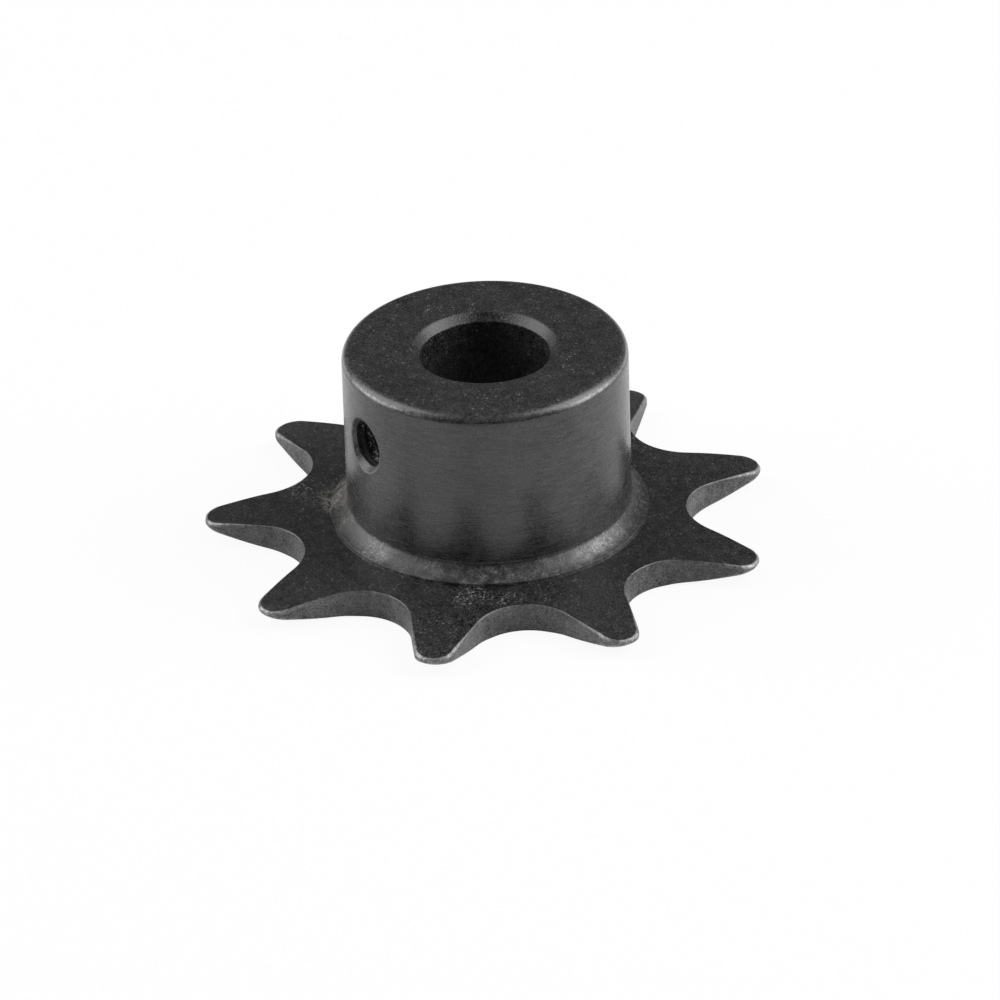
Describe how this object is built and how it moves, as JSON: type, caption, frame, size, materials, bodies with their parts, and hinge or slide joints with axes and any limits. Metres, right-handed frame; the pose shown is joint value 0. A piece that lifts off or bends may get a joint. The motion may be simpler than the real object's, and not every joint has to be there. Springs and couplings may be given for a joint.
{
  "type": "chain sprocket",
  "caption": "Small toothed chain wheel with thinned pointed teeth, a bored hub on one side and a countersunk set-screw hole in the hub's wall.",
  "frame": {"origin": "centre of the bore at the plate's back face", "axes": "+Z along the bore axis, towards the hub's face; -Y out of the set-screw hole"},
  "size_m": [0.0412, 0.0415, 0.0157],
  "materials": {
    "oxide_steel": "black oxide, satin, worn bright at the tooth tips and edges"
  },
  "bodies": {
    "root": {"sprocket": "oxide_steel"}
  },
  "joints": []
}
